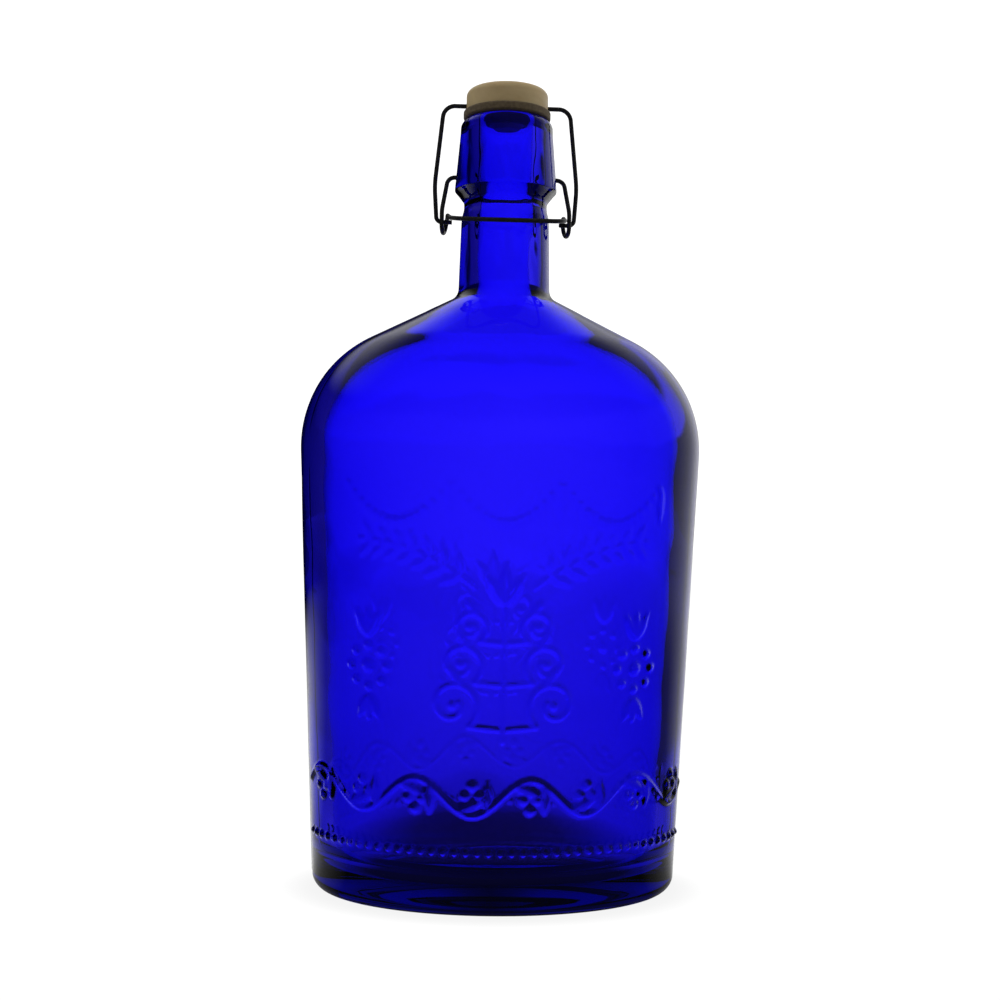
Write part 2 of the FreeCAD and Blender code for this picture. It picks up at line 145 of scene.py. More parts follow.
# Heights up the side with the spacing of the rows of points below each: fine where the ornament is.
RELIEF_FOOT = 17.0
RELIEF_TOP = 150.0
outer_rows = [(RELIEF_FOOT, 1.2), (110.0, 0.7), (RELIEF_TOP, 0.9)]
inner_rows = [(150.0, 3.0)]
outer_skin = skin_rings(FLASK_HALF_WIDTH, FLASK_HALF_DEPTH, FLASK_HALF_BASE, SHOULDER_RADIUS,
                        NECK_ROOT_RADIUS, NECK_ROOT_FILLET, 0.0, HEEL_RADIUS, outer_rows)
inner_skin = skin_rings(FLASK_HALF_WIDTH - SIDE_WALL, FLASK_HALF_DEPTH - BODY_WALL,
                        FLASK_HALF_BASE - SIDE_WALL, SHOULDER_RADIUS - SHOULDER_WALL, MOUTH_RADIUS,
                        NECK_ROOT_FILLET + BODY_WALL, FLOOR_THICKNESS, INNER_HEEL_RADIUS, inner_rows)

# The section of the neck, from its foot up over the lip and down the bore: tapered neck, rounded top,
# waist, lower edge of the finish, tapered finish, rounded lip, broken inner edge.
NECK_SIDE = ((16.57, 219.0), (16.03, 241.6))
NECK_TOP_ROUND = 8.0
WAIST_SIDE = ((15.83, 243.6), (15.36, 245.8))
WAIST_FOOT_ROUND = 8.0
WAIST_TOP_ROUND = 2.9
COLLAR_SLOPE = ((15.83, 250.2), (17.9, 252.85))
COLLAR_ROUND = 0.8
FINISH_SIDE = ((18.56, 254.4), (16.75, 275.4))
LIP_ROUND = 3.4
LIP_HEIGHT = 279.5
LIP_FLAT = (12.6, 11.0)
MOUTH_BREAK = 1.0
MOUTH_TAPER = ((9.8, 278.4), (MOUTH_RADIUS, 277.4))
BORE = ((MOUTH_RADIUS, 277.0), (MOUTH_RADIUS, 222.0))
neck_section = spaced(*NECK_SIDE, 3.0)
neck_section += arc((8.0, 241.5), NECK_TOP_ROUND, 1, 11, 5)
neck_section += spaced(*WAIST_SIDE, 0.8)
neck_section += arc((23.1, 247.6), WAIST_FOOT_ROUND, 192, 180, 5)
neck_section += arc((18.0, 248.3), WAIST_TOP_ROUND, 180, 144, 7)
neck_section += spaced(*COLLAR_SLOPE, 0.7)
neck_section += arc((17.78, 253.82), COLLAR_ROUND, -48, -5, 7)
neck_section += spaced(*FINISH_SIDE, 1.5)
neck_section += arc((13.4, LIP_HEIGHT - LIP_ROUND), LIP_ROUND, 2, 90, 14)
neck_section += spaced((LIP_FLAT[0], LIP_HEIGHT), (LIP_FLAT[1], LIP_HEIGHT), 0.8)
neck_section += arc((LIP_FLAT[1], LIP_HEIGHT - MOUTH_BREAK), MOUTH_BREAK, 90, 150, 5)
neck_section += spaced(*MOUTH_TAPER, 0.5)
bore_start = len(neck_section)
neck_section += spaced(*BORE, 2.0)
neck_rings = [(r, r, z) for r, z in neck_section]

foot_dome = dome_rings(0.0)
floor_dome = dome_rings(FLOOR_THICKNESS)
glass_rings = foot_dome + flat_rings(foot_dome[-1], outer_skin[0]) + outer_skin + neck_rings
outer_count = len(foot_dome) + FLAT_STEPS + len(outer_skin)
inner_start = len(glass_rings)
glass_rings += inner_skin[::-1] + flat_rings(inner_skin[0], floor_dome[-1]) + floor_dome[::-1]

# The columns of points stand closer together on the broad front and back than on the sides.
GLASS_COLUMNS = 480
FRONT_CROWDING = 0.17
turn = np.arange(GLASS_COLUMNS) * 2 * math.pi / GLASS_COLUMNS
turn = turn + FRONT_CROWDING * np.sin(2 * turn)
half_widths, half_depths, heights = (np.array(column)[:, None] for column in zip(*glass_rings))
glass = np.stack([half_widths * np.cos(turn), half_depths * np.sin(turn), heights + 0 * turn], axis=-1)
across = np.roll(glass, -1, axis=1) - np.roll(glass, 1, axis=1)
along = np.gradient(glass, axis=0)
glass_normals = np.cross(across, along)
glass_normals /= np.linalg.norm(glass_normals, axis=-1, keepdims=True)

# The ornament is laid out flat: distance round the oval from the middle of a face, and height.
ORNAMENT_OVAL = (69.0, 44.0)
fine_turn = np.linspace(0, 2 * math.pi, 4000)
fine_steps = np.hypot(np.diff(ORNAMENT_OVAL[0] * np.cos(fine_turn)),
                      np.diff(ORNAMENT_OVAL[1] * np.sin(fine_turn)))
fine_arc = np.concatenate([[0], np.cumsum(fine_steps)])
girth = fine_arc[-1]
round_arc = np.interp(turn % (2 * math.pi), fine_turn, fine_arc)
front_arc = (round_arc - girth * 0.75 + girth / 2) % girth - girth / 2
back_arc = (round_arc - girth * 0.25 + girth / 2) % girth - girth / 2

# A leafy vine with berries runs round the foot over a row of beads. A plant with curled shoots stands over
# it in the middle, between two rosettes of dots. Fainter sprays of leaves and swags of beads are above.
# A leaf is (length, width), a line is (half width, height), and beads, berries and dots are radii. The eye
# of a shoot and the length of its leaf are in parts of its reach.
LEAF_STEPS = 24
FACE_REACH = 80.0
VINE_HEIGHT = 41.0
VINE_SWING = 6.0
VINE_WAVE = 40.0
VINE_END = 84.0
VINE_LEAF = (9.5, 4.6)
VINE_LEAF_TURN = 55
VINE_BERRY = 1.9
STEM_LINE = (1.2, 0.85)
SHOOT_LINE = (1.15, 0.85)
STALK_LINE = (0.9, 0.6)
STALK_LENGTH = 5.0
BERRY_PLACES = ((-2.3, 6.6), (2.3, 6.6), (0.0, 10.0))
BEAD_HEIGHT = 22.5
BEAD_SPACING = 4.0
BEAD_RADIUS = 1.35
PLANT_FOOT = 60.0
PLANT_TOP = 106.0
PLANT_SHOOTS = ((4, 9.0), (19, 7.6), (33, 6.0))
SHOOT_TURN = 7.6
SHOOT_START = 0.9
SHOOT_CLOSING = 0.72
SHOOT_EYE = (1.9, 0.9)
SHOOT_BERRY = 1.7
SHOOT_LEAF_POINT = 42
SHOOT_LEAF_LEAN = 35
SHOOT_LEAF_LENGTH = 0.95
SHOOT_LEAF_WIDTH = 3.8
CROWN_LEAVES = ((90, 13), (58, 11), (122, 11))
CROWN_LEAF_WIDTH = 5.0
ROSETTE = (47.0, 84.0)
ROSETTE_RADIUS = 7.0
ROSETTE_DOTS = (2.5, 1.6)
ROSETTE_LEAF_START = 10.0
ROSETTE_LEAF_ANGLES = (62, 90, 118)
ROSETTE_UPPER_LEAF = (10.0, 4.0)
ROSETTE_LOWER_LEAF = (9.0, 4.0)
SWAGS = ((-54, -19), (-17, 17), (19, 54))
SWAG_HEIGHT = 146.0
SWAG_DROP = 13.0
SWAG_BEADS = 15
SWAG_BEAD = 1.3
SWAG_BEAD_GROWTH = 0.9
SWAG_LEAF = (12.0, 3.6)
SPRAY_FOOT = (10.0, 112.0)
SPRAY_SPAN = 40.0
SPRAY_RISE = 15.0
SPRAY_STEM = 0.75
SPRAY_LEAF = (7.0, 3.2)
SPRAY_LEAF_TURN = 55
LEAF_HEIGHT = 0.85
BERRY_HEIGHT = 1.0
FAINT_HEIGHT = 0.32
WIDEST_BLOB = 2.8


def curve_points(function, start, end, count=160):
    return [function(start + (end - start) * step / count) for step in range(count + 1)]


def leaf_points(foot, angle, length, width):
    """Points with radii that fill a pointed leaf: broad below its middle and drawn out to a tip."""
    points = []
    for step in range(LEAF_STEPS + 1):
        share = step / LEAF_STEPS
        radius = width / 2 * math.sin(math.pi * share ** 0.8) ** 0.9
        spot = (foot[0] + math.cos(angle) * length * share, foot[1] + math.sin(angle) * length * share)
        points.append((spot, max(radius, 0.35)))
    return points


def vine(s):
    return s, VINE_HEIGHT + VINE_SWING * math.sin(2 * math.pi * s / VINE_WAVE)


lines = [(curve_points(vine, -VINE_END, VINE_END, 500), *STEM_LINE)]
leaves = []
berries = [((s * BEAD_SPACING, BEAD_HEIGHT), BEAD_RADIUS) for s in range(-21, 22)]
for step in range(-8, 8):
    s = (step + 0.5) * VINE_WAVE / 4
    foot = vine(s)
    lean = math.atan2(vine(s + 0.1)[1] - foot[1], 0.1)
    side = 1 if step % 4 in (0, 1) else -1
    leaves += leaf_points(foot, lean - side * math.radians(VINE_LEAF_TURN), *VINE_LEAF)
for step in range(-4, 5):
    crest = vine((step + 0.5) * VINE_WAVE / 2)
    side = 1 if step % 2 else -1
    stalk = [(crest[0], crest[1] + side * out) for out in np.linspace(0, STALK_LENGTH, 16)]
    lines.append((stalk, *STALK_LINE))
    for along_stalk, out in BERRY_PLACES:
        berries.append(((crest[0] + along_stalk, crest[1] + side * out), VINE_BERRY))

lines.append(([(0.0, z) for z in np.linspace(PLANT_FOOT, PLANT_TOP, 120)], *STEM_LINE))
for side in (-1, 1):
    for rise, reach in PLANT_SHOOTS:
        level = PLANT_FOOT + rise
        eye = (side * reach * SHOOT_EYE[0], level + reach * SHOOT_EYE[1])

        def shoot(turned, side=side, reach=reach, eye=eye):
            radius = reach * (1.0 - SHOOT_CLOSING * turned / SHOOT_TURN)
            angle = turned - SHOOT_START
            return eye[0] - side * radius * math.cos(angle), eye[1] + radius * math.sin(angle)

        curl = curve_points(shoot, 0.0, SHOOT_TURN)
        stalk = curve_points(lambda t, c=curl[0], z=level: (c[0] * t, z + (c[1] - z) * t), 0, 1, 40)
        lines += [(curl, *SHOOT_LINE), (stalk, *SHOOT_LINE)]
        berries.append((eye, SHOOT_BERRY))
        lean = math.radians(90 - side * SHOOT_LEAF_LEAN)
        leaves += leaf_points(curl[SHOOT_LEAF_POINT], lean, reach * SHOOT_LEAF_LENGTH, SHOOT_LEAF_WIDTH)
    rosette = (side * ROSETTE[0], ROSETTE[1])
    berries.append((rosette, ROSETTE_DOTS[0]))
    for step in range(8):
        turned = math.radians(step * 45)
        dot = (rosette[0] + ROSETTE_RADIUS * math.cos(turned),
               rosette[1] + ROSETTE_RADIUS * math.sin(turned))
        berries.append((dot, ROSETTE_DOTS[1]))
    for angle in ROSETTE_LEAF_ANGLES:
        turned = math.radians(angle)
        leaves += leaf_points((rosette[0], rosette[1] + ROSETTE_LEAF_START), turned, *ROSETTE_UPPER_LEAF)
        leaves += leaf_points((rosette[0], rosette[1] - ROSETTE_LEAF_START), -turned, *ROSETTE_LOWER_LEAF)
for angle, length in CROWN_LEAVES:
    leaves += leaf_points((0, PLANT_TOP), math.radians(angle), length, CROWN_LEAF_WIDTH)


def spray(share, side):
    return side * (SPRAY_FOOT[0] + SPRAY_SPAN * share), SPRAY_FOOT[1] + SPRAY_RISE * share * (2 - share)


faint = []
for start, end in SWAGS:
    for step in range(SWAG_BEADS):
        share = step / (SWAG_BEADS - 1)
        drop = 4 * share * (1 - share)
        bead = (start + (end - start) * share, SWAG_HEIGHT - SWAG_DROP * drop)
        faint.append((bead, SWAG_BEAD + SWAG_BEAD_GROWTH * drop))
    faint += leaf_points((end + 1, SWAG_HEIGHT), math.radians(-90), *SWAG_LEAF)
for side in (-1, 1):
    faint += [(spray(step / 60, side), SPRAY_STEM) for step in range(61)]
    for step in range(1, 8):
        lean = math.atan2(SPRAY_RISE * (2 - step / 4), side * SPRAY_SPAN)
        for turned in (-SPRAY_LEAF_TURN, SPRAY_LEAF_TURN):
            faint += leaf_points(spray(step / 8, side), lean + math.radians(turned), *SPRAY_LEAF)


def nearest(points):
    tree = kdtree.KDTree(len(points))
    for index, spot in enumerate(points):
        tree.insert((spot[0], spot[1], 0), index)
    tree.balance()
    return tree


def relief_height(spots):
    """How far each spot of the flat layout is raised, in millimetres."""
    raised = np.zeros(len(spots))
    for points, half_width, height in lines:
        tree = nearest(points)
        for index, spot in enumerate(spots):
            gap = tree.find((spot[0], spot[1], 0))[2] / half_width
            if gap < 1:
                raised[index] = max(raised[index], height * (1 - gap * gap) ** 1.5)
    for blobs, height in ((leaves, LEAF_HEIGHT), (berries, BERRY_HEIGHT), (faint, FAINT_HEIGHT)):
        tree = nearest([spot for spot, radius in blobs])
        for index, spot in enumerate(spots):
            best = 0.0
            for _, blob, gap in tree.find_range((spot[0], spot[1], 0), WIDEST_BLOB):
                best = max(best, 1 - (gap / blobs[blob][1]) ** 2)
            if best > 0:
                raised[index] = max(raised[index], height * best ** 0.7)
    return raised


# The front has the full ornament, and the back the same at half the height.
BACK_STRENGTH = 0.5
relief = np.zeros(glass.shape[:2])
skin_start = len(foot_dome) + FLAT_STEPS
relief_rows = [row for row in range(skin_start, outer_count)
               if RELIEF_FOOT < glass_rings[row][2] < RELIEF_TOP]
for face_arc, strength in ((front_arc, 1.0), (back_arc, BACK_STRENGTH)):
    columns = np.flatnonzero(np.abs(face_arc) < FACE_REACH)
    spots = [(face_arc[c], glass_rings[r][2]) for r in relief_rows for c in columns]
    raised = relief_height(spots).reshape(len(relief_rows), len(columns))
    relief[np.ix_(relief_rows, columns)] += strength * raised

# The blown inner skin is gently uneven, the bore too, and the outer skin a little less so. The outer skin
# is set in by a hair, so that its waves stay inside the size of the bottle. Rows near an edge stay even.
SLOW_WAVE = 0.15
SLOW_PITCH = 47.0
QUICK_WAVE = 0.045
QUICK_PITCH = 19.0
BORE_SHARE = 1.2
OUTER_SHARE = 0.2
OUTER_SET_IN = 0.3
INNER_EVEN_ROWS = 12
BORE_EVEN_ROWS = 4
NECK_EVEN_ROWS = 14
slow = np.sin(2 * math.pi * heights / SLOW_PITCH + 2.1 * np.sin(2 * turn + 0.6))
slow = slow * np.cos(3 * turn + heights / 21)
quick = np.sin(2 * math.pi * heights / QUICK_PITCH + 1.7 * np.cos(5 * turn))
quick = quick * np.cos(9 * turn - heights / 13)
unevenness = SLOW_WAVE * slow + QUICK_WAVE * quick
share = np.zeros((len(glass_rings), 1))
share[inner_start + INNER_EVEN_ROWS:inner_start + len(inner_skin) - INNER_EVEN_ROWS] = 1.0
share[outer_count + bore_start + BORE_EVEN_ROWS:inner_start] = BORE_SHARE
relief += unevenness * share
waved_rows = slice(skin_start + HEEL_STEPS, outer_count - NECK_EVEN_ROWS)
relief[waved_rows] += OUTER_SHARE * (unevenness[waved_rows] - OUTER_SET_IN)

# The seams where the halves of the mould met run up the two sides, worn away where the flask is widest.
SEAM_HEIGHT = 0.3
SEAM_WORN = 16.0
on_seam = [0, GLASS_COLUMNS // 2]
seam = SEAM_HEIGHT * (1 - np.exp(-((heights[waved_rows] - SHOULDER_HEIGHT) / SEAM_WORN) ** 2))
relief[waved_rows, on_seam] += seam
glass = (glass + glass_normals * relief[..., None]) * MM

rows = len(glass_rings)
dome_tops = [[0, 0, PUNT_RISE * MM], [0, 0, (FLOOR_THICKNESS + PUNT_RISE) * MM]]
vertices = np.concatenate([glass.reshape(-1, 3), dome_tops])
index = np.arange(rows * GLASS_COLUMNS).reshape(rows, GLASS_COLUMNS)
following = np.roll(index, -1, axis=1)
faces = np.stack([index[:-1], following[:-1], following[1:], index[1:]], axis=-1).reshape(-1, 4).tolist()
faces += [(rows * GLASS_COLUMNS, following[0, c], index[0, c]) for c in range(GLASS_COLUMNS)]
faces += [(rows * GLASS_COLUMNS + 1, index[-1, c], following[-1, c]) for c in range(GLASS_COLUMNS)]


def smooth_piece(name, points, polygons):
    """A smooth-shaded mesh object of the scene."""
    mesh = bpy.data.meshes.new(name)
    mesh.from_pydata([tuple(p) for p in points], [], [tuple(int(v) for v in f) for f in polygons])
    mesh.shade_smooth()
    piece = bpy.data.objects.new(name, mesh)
    bpy.context.scene.collection.objects.link(piece)
    return piece


def linear(code):
    """A linear colour from an sRGB hex code."""
    parts = [int(code[i:i + 2], 16) / 255 for i in (1, 3, 5)]
    return [p / 12.92 if p <= 0.04045 else ((p + 0.055) / 1.055) ** 2.4 for p in parts] + [1.0]


def add_node(tree, kind, inputs=None, stops=(), **settings):
    """A node with its settings and colour stops. An input is a value, an output, or a node's first output."""
    node = tree.nodes.new(kind)
    for key, value in settings.items():
        setattr(node, key, value)
    for place, (spot, colour) in enumerate(stops):
        stop = node.color_ramp.elements[place] if place < 2 else node.color_ramp.elements.new(spot)
        stop.position = spot
        stop.color = colour
    for key, value in (inputs or {}).items():
        if isinstance(value, bpy.types.Node):
            value = value.outputs[0]
        if isinstance(value, bpy.types.NodeSocket):
            tree.links.new(value, node.inputs[key])
        else:
            node.inputs[key].default_value = value
    return node


def new_material(name):
    material = bpy.data.materials.new(name)
    material.use_nodes = True
    material.node_tree.nodes.clear()
    return material, material.node_tree


# Cobalt glass, blown in an iron mould: clear and glossy, its depth of blue grows with its thickness, and
# the chill of the iron leaves a very slight orange peel on the outside.
CHILL_MARK = 6.0
cobalt_glass, tree = new_material("cobalt_glass_mould_blown")
place = add_node(tree, "ShaderNodeTexCoord").outputs["Object"]
chill = add_node(tree, "ShaderNodeTexNoise", {
    "Vector": place, "Scale": 1000 / CHILL_MARK, "Detail": 2.0, "Roughness": 0.5})
peel = add_node(tree, "ShaderNodeBump", {"Height": chill, "Strength": 0.10, "Distance": 0.00006})
gloss = add_node(tree, "ShaderNodeMapRange", {"Value": chill, "To Min": 0.0, "To Max": 0.03})
surface = add_node(tree, "ShaderNodeBsdfPrincipled", {
    "Base Color": linear("#7861ff"), "Transmission Weight": 1.0, "IOR": 1.51, "Roughness": gloss,
    "Normal": peel})
depth = add_node(tree, "ShaderNodeVolumeAbsorption", {"Color": linear("#0000e7"), "Density": 150.0})
add_node(tree, "ShaderNodeOutputMaterial", {"Surface": surface, "Volume": depth})

bottle = smooth_piece("glass_bottle", vertices, faces)
bottle.data.materials.append(cobalt_glass)
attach(bottle, "bottle")
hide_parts("glass_flask", "glass_neck")


# The lever and the bail: two bent pieces of 1.6 mm steel wire, dipped in black lacquer. The lever's ends
# spring into the dimples of the finish, and the bail's ends hook into the lever's two eyes.
WIRE_RADIUS = 0.8
WIRE_SIDES = 20
BEND_STEP = 0.3
CUT_END = 0.25
CUT_SHARE = 0.7
PIN_START = 15.0
PIVOT_HEIGHT = 258.4
ARM_TOP_SIDE = 21.1
ARM_SIDE = 23.2
LEG_SIDE = 21.1
EYE_HALF = 2.9
EYE_TOP = 243.9
EYE_FOOT = EYE_TOP - 2 * EYE_HALF
ARM_FOOT_RISE = 5.0
BAR_SIDE = 20.0
BAR_REACH = 22.0
BAR_HEIGHT = 239.0
STUB_HEIGHT = 242.0
STUB_START = 19.7
BAIL_FOOT_SIDE = 25.1
BAIL_BOW_SIDE = 26.0
BAIL_BOW_HEIGHT = 255.5
BAIL_TOP_SIDE = 23.0
BAIL_TOP_HEIGHT = 284.5
ARM_TOP_BEND = 3.0
ARM_FOOT_BEND = 10.0
EYE_BEND = 2.8
LEG_BEND = 8.0
LEVER_CORNER_BEND = 6.0
BAIL_FOOT_BEND = 2.0
BAIL_BOW_BEND = 40.0
BAIL_CORNER_BEND = 4.5


def bent(points, bends):
    """Points along straight runs that are joined by arcs of the given radii."""
    corners = [np.array(point, float) for point in points]
    path = [corners[0]]
    for before, corner, after, radius in zip(corners, corners[1:], corners[2:], bends):
        back = (before - corner) / np.linalg.norm(before - corner)
        ahead = (after - corner) / np.linalg.norm(after - corner)
        half = math.acos(back @ ahead) / 2
        middle = corner + (back + ahead) / np.linalg.norm(back + ahead) * radius / math.sin(half)
        run_in = corner + back * radius / math.tan(half) - middle
        run_out = corner + ahead * radius / math.tan(half) - middle
        sweep = math.pi - 2 * half
        steps = max(4, round(radius * sweep / BEND_STEP))
        for step in range(steps + 1):
            done = sweep * step / steps
            offset = run_in * math.sin(sweep - done) + run_out * math.sin(done)
            path.append(middle + offset / math.sin(sweep))
    return path + [corners[-1]]


def wire(name, half_points, half_bends):
    """A round wire with slightly rounded cut ends, from the path of its right half."""
    mirrored = [(-x, y, z) for x, y, z in reversed(half_points)]
    path = bent(half_points + mirrored, half_bends + half_bends[::-1])
    heading = (path[1] - path[0]) / np.linalg.norm(path[1] - path[0])
    path = [path[0], path[0] + CUT_END * heading] + path[1:-1] + [path[-1] + CUT_END * heading, path[-1]]
    radii = [CUT_SHARE * WIRE_RADIUS] + [WIRE_RADIUS] * (len(path) - 2) + [CUT_SHARE * WIRE_RADIUS]
    path = np.array(path)
    headings = np.gradient(path, axis=0)
    headings /= np.linalg.norm(headings, axis=1, keepdims=True)
    side = np.array([0.0, 1.0, 0.0])
    points = []
    for spot, heading, radius in zip(path, headings, radii):
        side = side - (side @ heading) * heading
        side /= np.linalg.norm(side)
        over = np.cross(heading, side)
        for step in range(WIRE_SIDES):
            turned = 2 * math.pi * step / WIRE_SIDES
            points.append((spot + radius * (math.cos(turned) * side + math.sin(turned) * over)) * MM)
    index = np.arange(len(points)).reshape(len(path), WIRE_SIDES)
    following = np.roll(index, -1, axis=1)
    quads = np.stack([index[:-1], following[:-1], following[1:], index[1:]], axis=-1).reshape(-1, 4).tolist()
    return smooth_piece(name, points, quads + [index[0, ::-1].tolist(), index[-1].tolist()])


# Black lacquer on steel wire, dipped: satin, with the slight runs and thin spots of the dip.
LACQUER_GRAIN = 1.2
black_wire, tree = new_material("steel_wire_black_lacquer")
place = add_node(tree, "ShaderNodeTexCoord").outputs["Object"]
grain = add_node(tree, "ShaderNodeTexNoise", {"Vector": place, "Scale": 1000 / LACQUER_GRAIN, "Detail": 4.0})
shade = add_node(tree, "ShaderNodeValToRGB", {"Fac": grain},
                 [(0.3, linear("#161618")), (0.7, linear("#2a2a2c"))])
gloss = add_node(tree, "ShaderNodeMapRange", {"Value": grain, "To Min": 0.3, "To Max": 0.5})
runs = add_node(tree, "ShaderNodeBump", {"Height": grain, "Strength": 0.25, "Distance": 0.0001})
surface = add_node(tree, "ShaderNodeBsdfPrincipled", {
    "Base Color": shade, "Roughness": gloss, "IOR": 1.5, "Normal": runs})
add_node(tree, "ShaderNodeOutputMaterial", {"Surface": surface})

lever_half = [
    (PIN_START, 0, PIVOT_HEIGHT),
    (ARM_TOP_SIDE, 0, PIVOT_HEIGHT),
    (ARM_SIDE, -EYE_HALF, EYE_TOP + ARM_FOOT_RISE - EYE_HALF),
    (ARM_SIDE, -EYE_HALF, EYE_FOOT),
    ((ARM_SIDE + LEG_SIDE) / 2, EYE_HALF, EYE_FOOT),
    (LEG_SIDE, EYE_HALF, EYE_TOP),
    (LEG_SIDE, -EYE_HALF, EYE_TOP),
    (BAR_SIDE, -BAR_REACH, BAR_HEIGHT),
]
lever_bends = [ARM_TOP_BEND, ARM_FOOT_BEND, EYE_BEND, EYE_BEND, EYE_BEND, LEG_BEND, LEVER_CORNER_BEND]
bail_half = [
    (STUB_START, 0, STUB_HEIGHT),
    (BAIL_FOOT_SIDE, 0, STUB_HEIGHT),
    (BAIL_BOW_SIDE, 0, BAIL_BOW_HEIGHT),
    (BAIL_TOP_SIDE, 0, BAIL_TOP_HEIGHT),
]
bail_bends = [BAIL_FOOT_BEND, BAIL_BOW_BEND, BAIL_CORNER_BEND]
lever = wire("lever", lever_half, lever_bends)
bail = wire("bail", bail_half, bail_bends)
for piece, node in ((lever, "lever_wire"), (bail, "bail_wire")):
    piece.data.materials.append(black_wire)
    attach(piece, piece.name)
    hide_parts(node)


# The stopper: a flat round head with a stem, moulded in one piece of cream polyethylene.
# The bail's top bar runs through a hole in the head and carries it.
FLOW_MARK = 9.0
GATE_RADIUS = 2.2
GATE_EDGE = 0.2
# Moulded polyethylene: satin and slightly milky, clouded by the flow of the melt, with the round mark of
# the gate in the middle of the top.
stopper_plastic, tree = new_material("polyethylene_moulded_cream")
place = add_node(tree, "ShaderNodeTexCoord").outputs["Object"]
flow = add_node(tree, "ShaderNodeTexNoise", {
    "Vector": place, "Scale": 1000 / FLOW_MARK, "Detail": 5.0, "Roughness": 0.6, "Distortion": 0.8})
shade = add_node(tree, "ShaderNodeValToRGB", {"Fac": flow},
                 [(0.3, linear("#b9a174")), (0.75, linear("#cdb788"))])
gloss = add_node(tree, "ShaderNodeMapRange", {"Value": flow, "To Min": 0.38, "To Max": 0.55})
flat = add_node(tree, "ShaderNodeVectorMath", {0: place, 1: (1000, 1000, 0)}, operation="MULTIPLY")
from_axis = add_node(tree, "ShaderNodeVectorMath", {0: flat}, operation="LENGTH").outputs["Value"]
gate = add_node(tree, "ShaderNodeMapRange", {
    "Value": from_axis, "From Min": GATE_RADIUS - GATE_EDGE, "From Max": GATE_RADIUS + GATE_EDGE},
    interpolation_type="SMOOTHSTEP")
marks = add_node(tree, "ShaderNodeBump", {"Height": gate, "Strength": 0.6, "Distance": 0.0002})
surface = add_node(tree, "ShaderNodeBsdfPrincipled", {
    "Base Color": shade, "Roughness": gloss, "IOR": 1.5, "Subsurface Weight": 0.4,
    "Subsurface Radius": (1.0, 0.7, 0.45), "Subsurface Scale": 0.003, "Normal": marks})
add_node(tree, "ShaderNodeOutputMaterial", {"Surface": surface})
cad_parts["stopper_head"].data.materials.clear()
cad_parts["stopper_head"].data.materials.append(stopper_plastic)


# The gasket: a ring of tan natural rubber, moulded in one piece and pushed over the stopper's stem.
# Its flange seals on the lip.
RUBBER_GRAIN = 1.0
# Moulded natural rubber: matt, with a fine grain, in a tan darkened throughout as painted shade under the
# stopper's head.
gasket_rubber_painted_shade, tree = new_material("natural_rubber_tan_painted_shade")
place = add_node(tree, "ShaderNodeTexCoord").outputs["Object"]
grain = add_node(tree, "ShaderNodeTexNoise", {"Vector": place, "Scale": 1000 / RUBBER_GRAIN, "Detail": 3.0})
# The tan is darkened throughout: painted shade.
shade = add_node(tree, "ShaderNodeValToRGB", {"Fac": grain},
                 [(0.3, linear("#5f5039")), (0.7, linear("#75654a"))])
surface = add_node(tree, "ShaderNodeBsdfPrincipled", {"Base Color": shade, "Roughness": 0.7, "IOR": 1.52})
add_node(tree, "ShaderNodeOutputMaterial", {"Surface": surface})
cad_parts["gasket"].data.materials.clear()
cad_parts["gasket"].data.materials.append(gasket_rubber_painted_shade)


# The studio: a pale floor that runs into a white surround, one soft panel, and a camera on a stand at about
# half the bottle's height. As with cards and black flags round a bottle, what is seen through the glass,
# what it mirrors and what lights the matt pieces each have light levels of their own.
scene = bpy.context.scene
scene.view_settings.view_transform = "Standard"
scene.view_settings.look = "None"
surround = bpy.data.worlds.new("white_surround")
surround.use_nodes = True
scene.world = surround
tree = surround.node_tree
tree.nodes.clear()


def levels(pairs):
    """Grey stops of a ramp from (angle, level) pairs. Angles go from -180 to 180, and 0 is the front."""
    return [(angle / 360 + 0.5, [level] * 3 + [1.0]) for angle, level in pairs]


def angle_round(tree, spot):
    """Where a spot or a direction lies round the bottle, from 0 to 1, with the front at 0.5."""
    parts = add_node(tree, "ShaderNodeSeparateXYZ", {"Vector": spot})
    forward = add_node(tree, "ShaderNodeMath", {0: parts.outputs["Y"], 1: -1.0}, operation="MULTIPLY")
    angle = add_node(tree, "ShaderNodeMath", {0: parts.outputs["X"], 1: forward}, operation="ARCTAN2")
    return add_node(tree, "ShaderNodeMapRange", {"Value": angle, "From Min": -math.pi, "From Max": math.pi})


def layered(tree, level, *layers):
    """A level with others laid over it in turn, each as (its share, the other level)."""
    for share, other in layers:
        level = add_node(tree, "ShaderNodeMix", {"Factor": share, "A": level, "B": other})
    return level


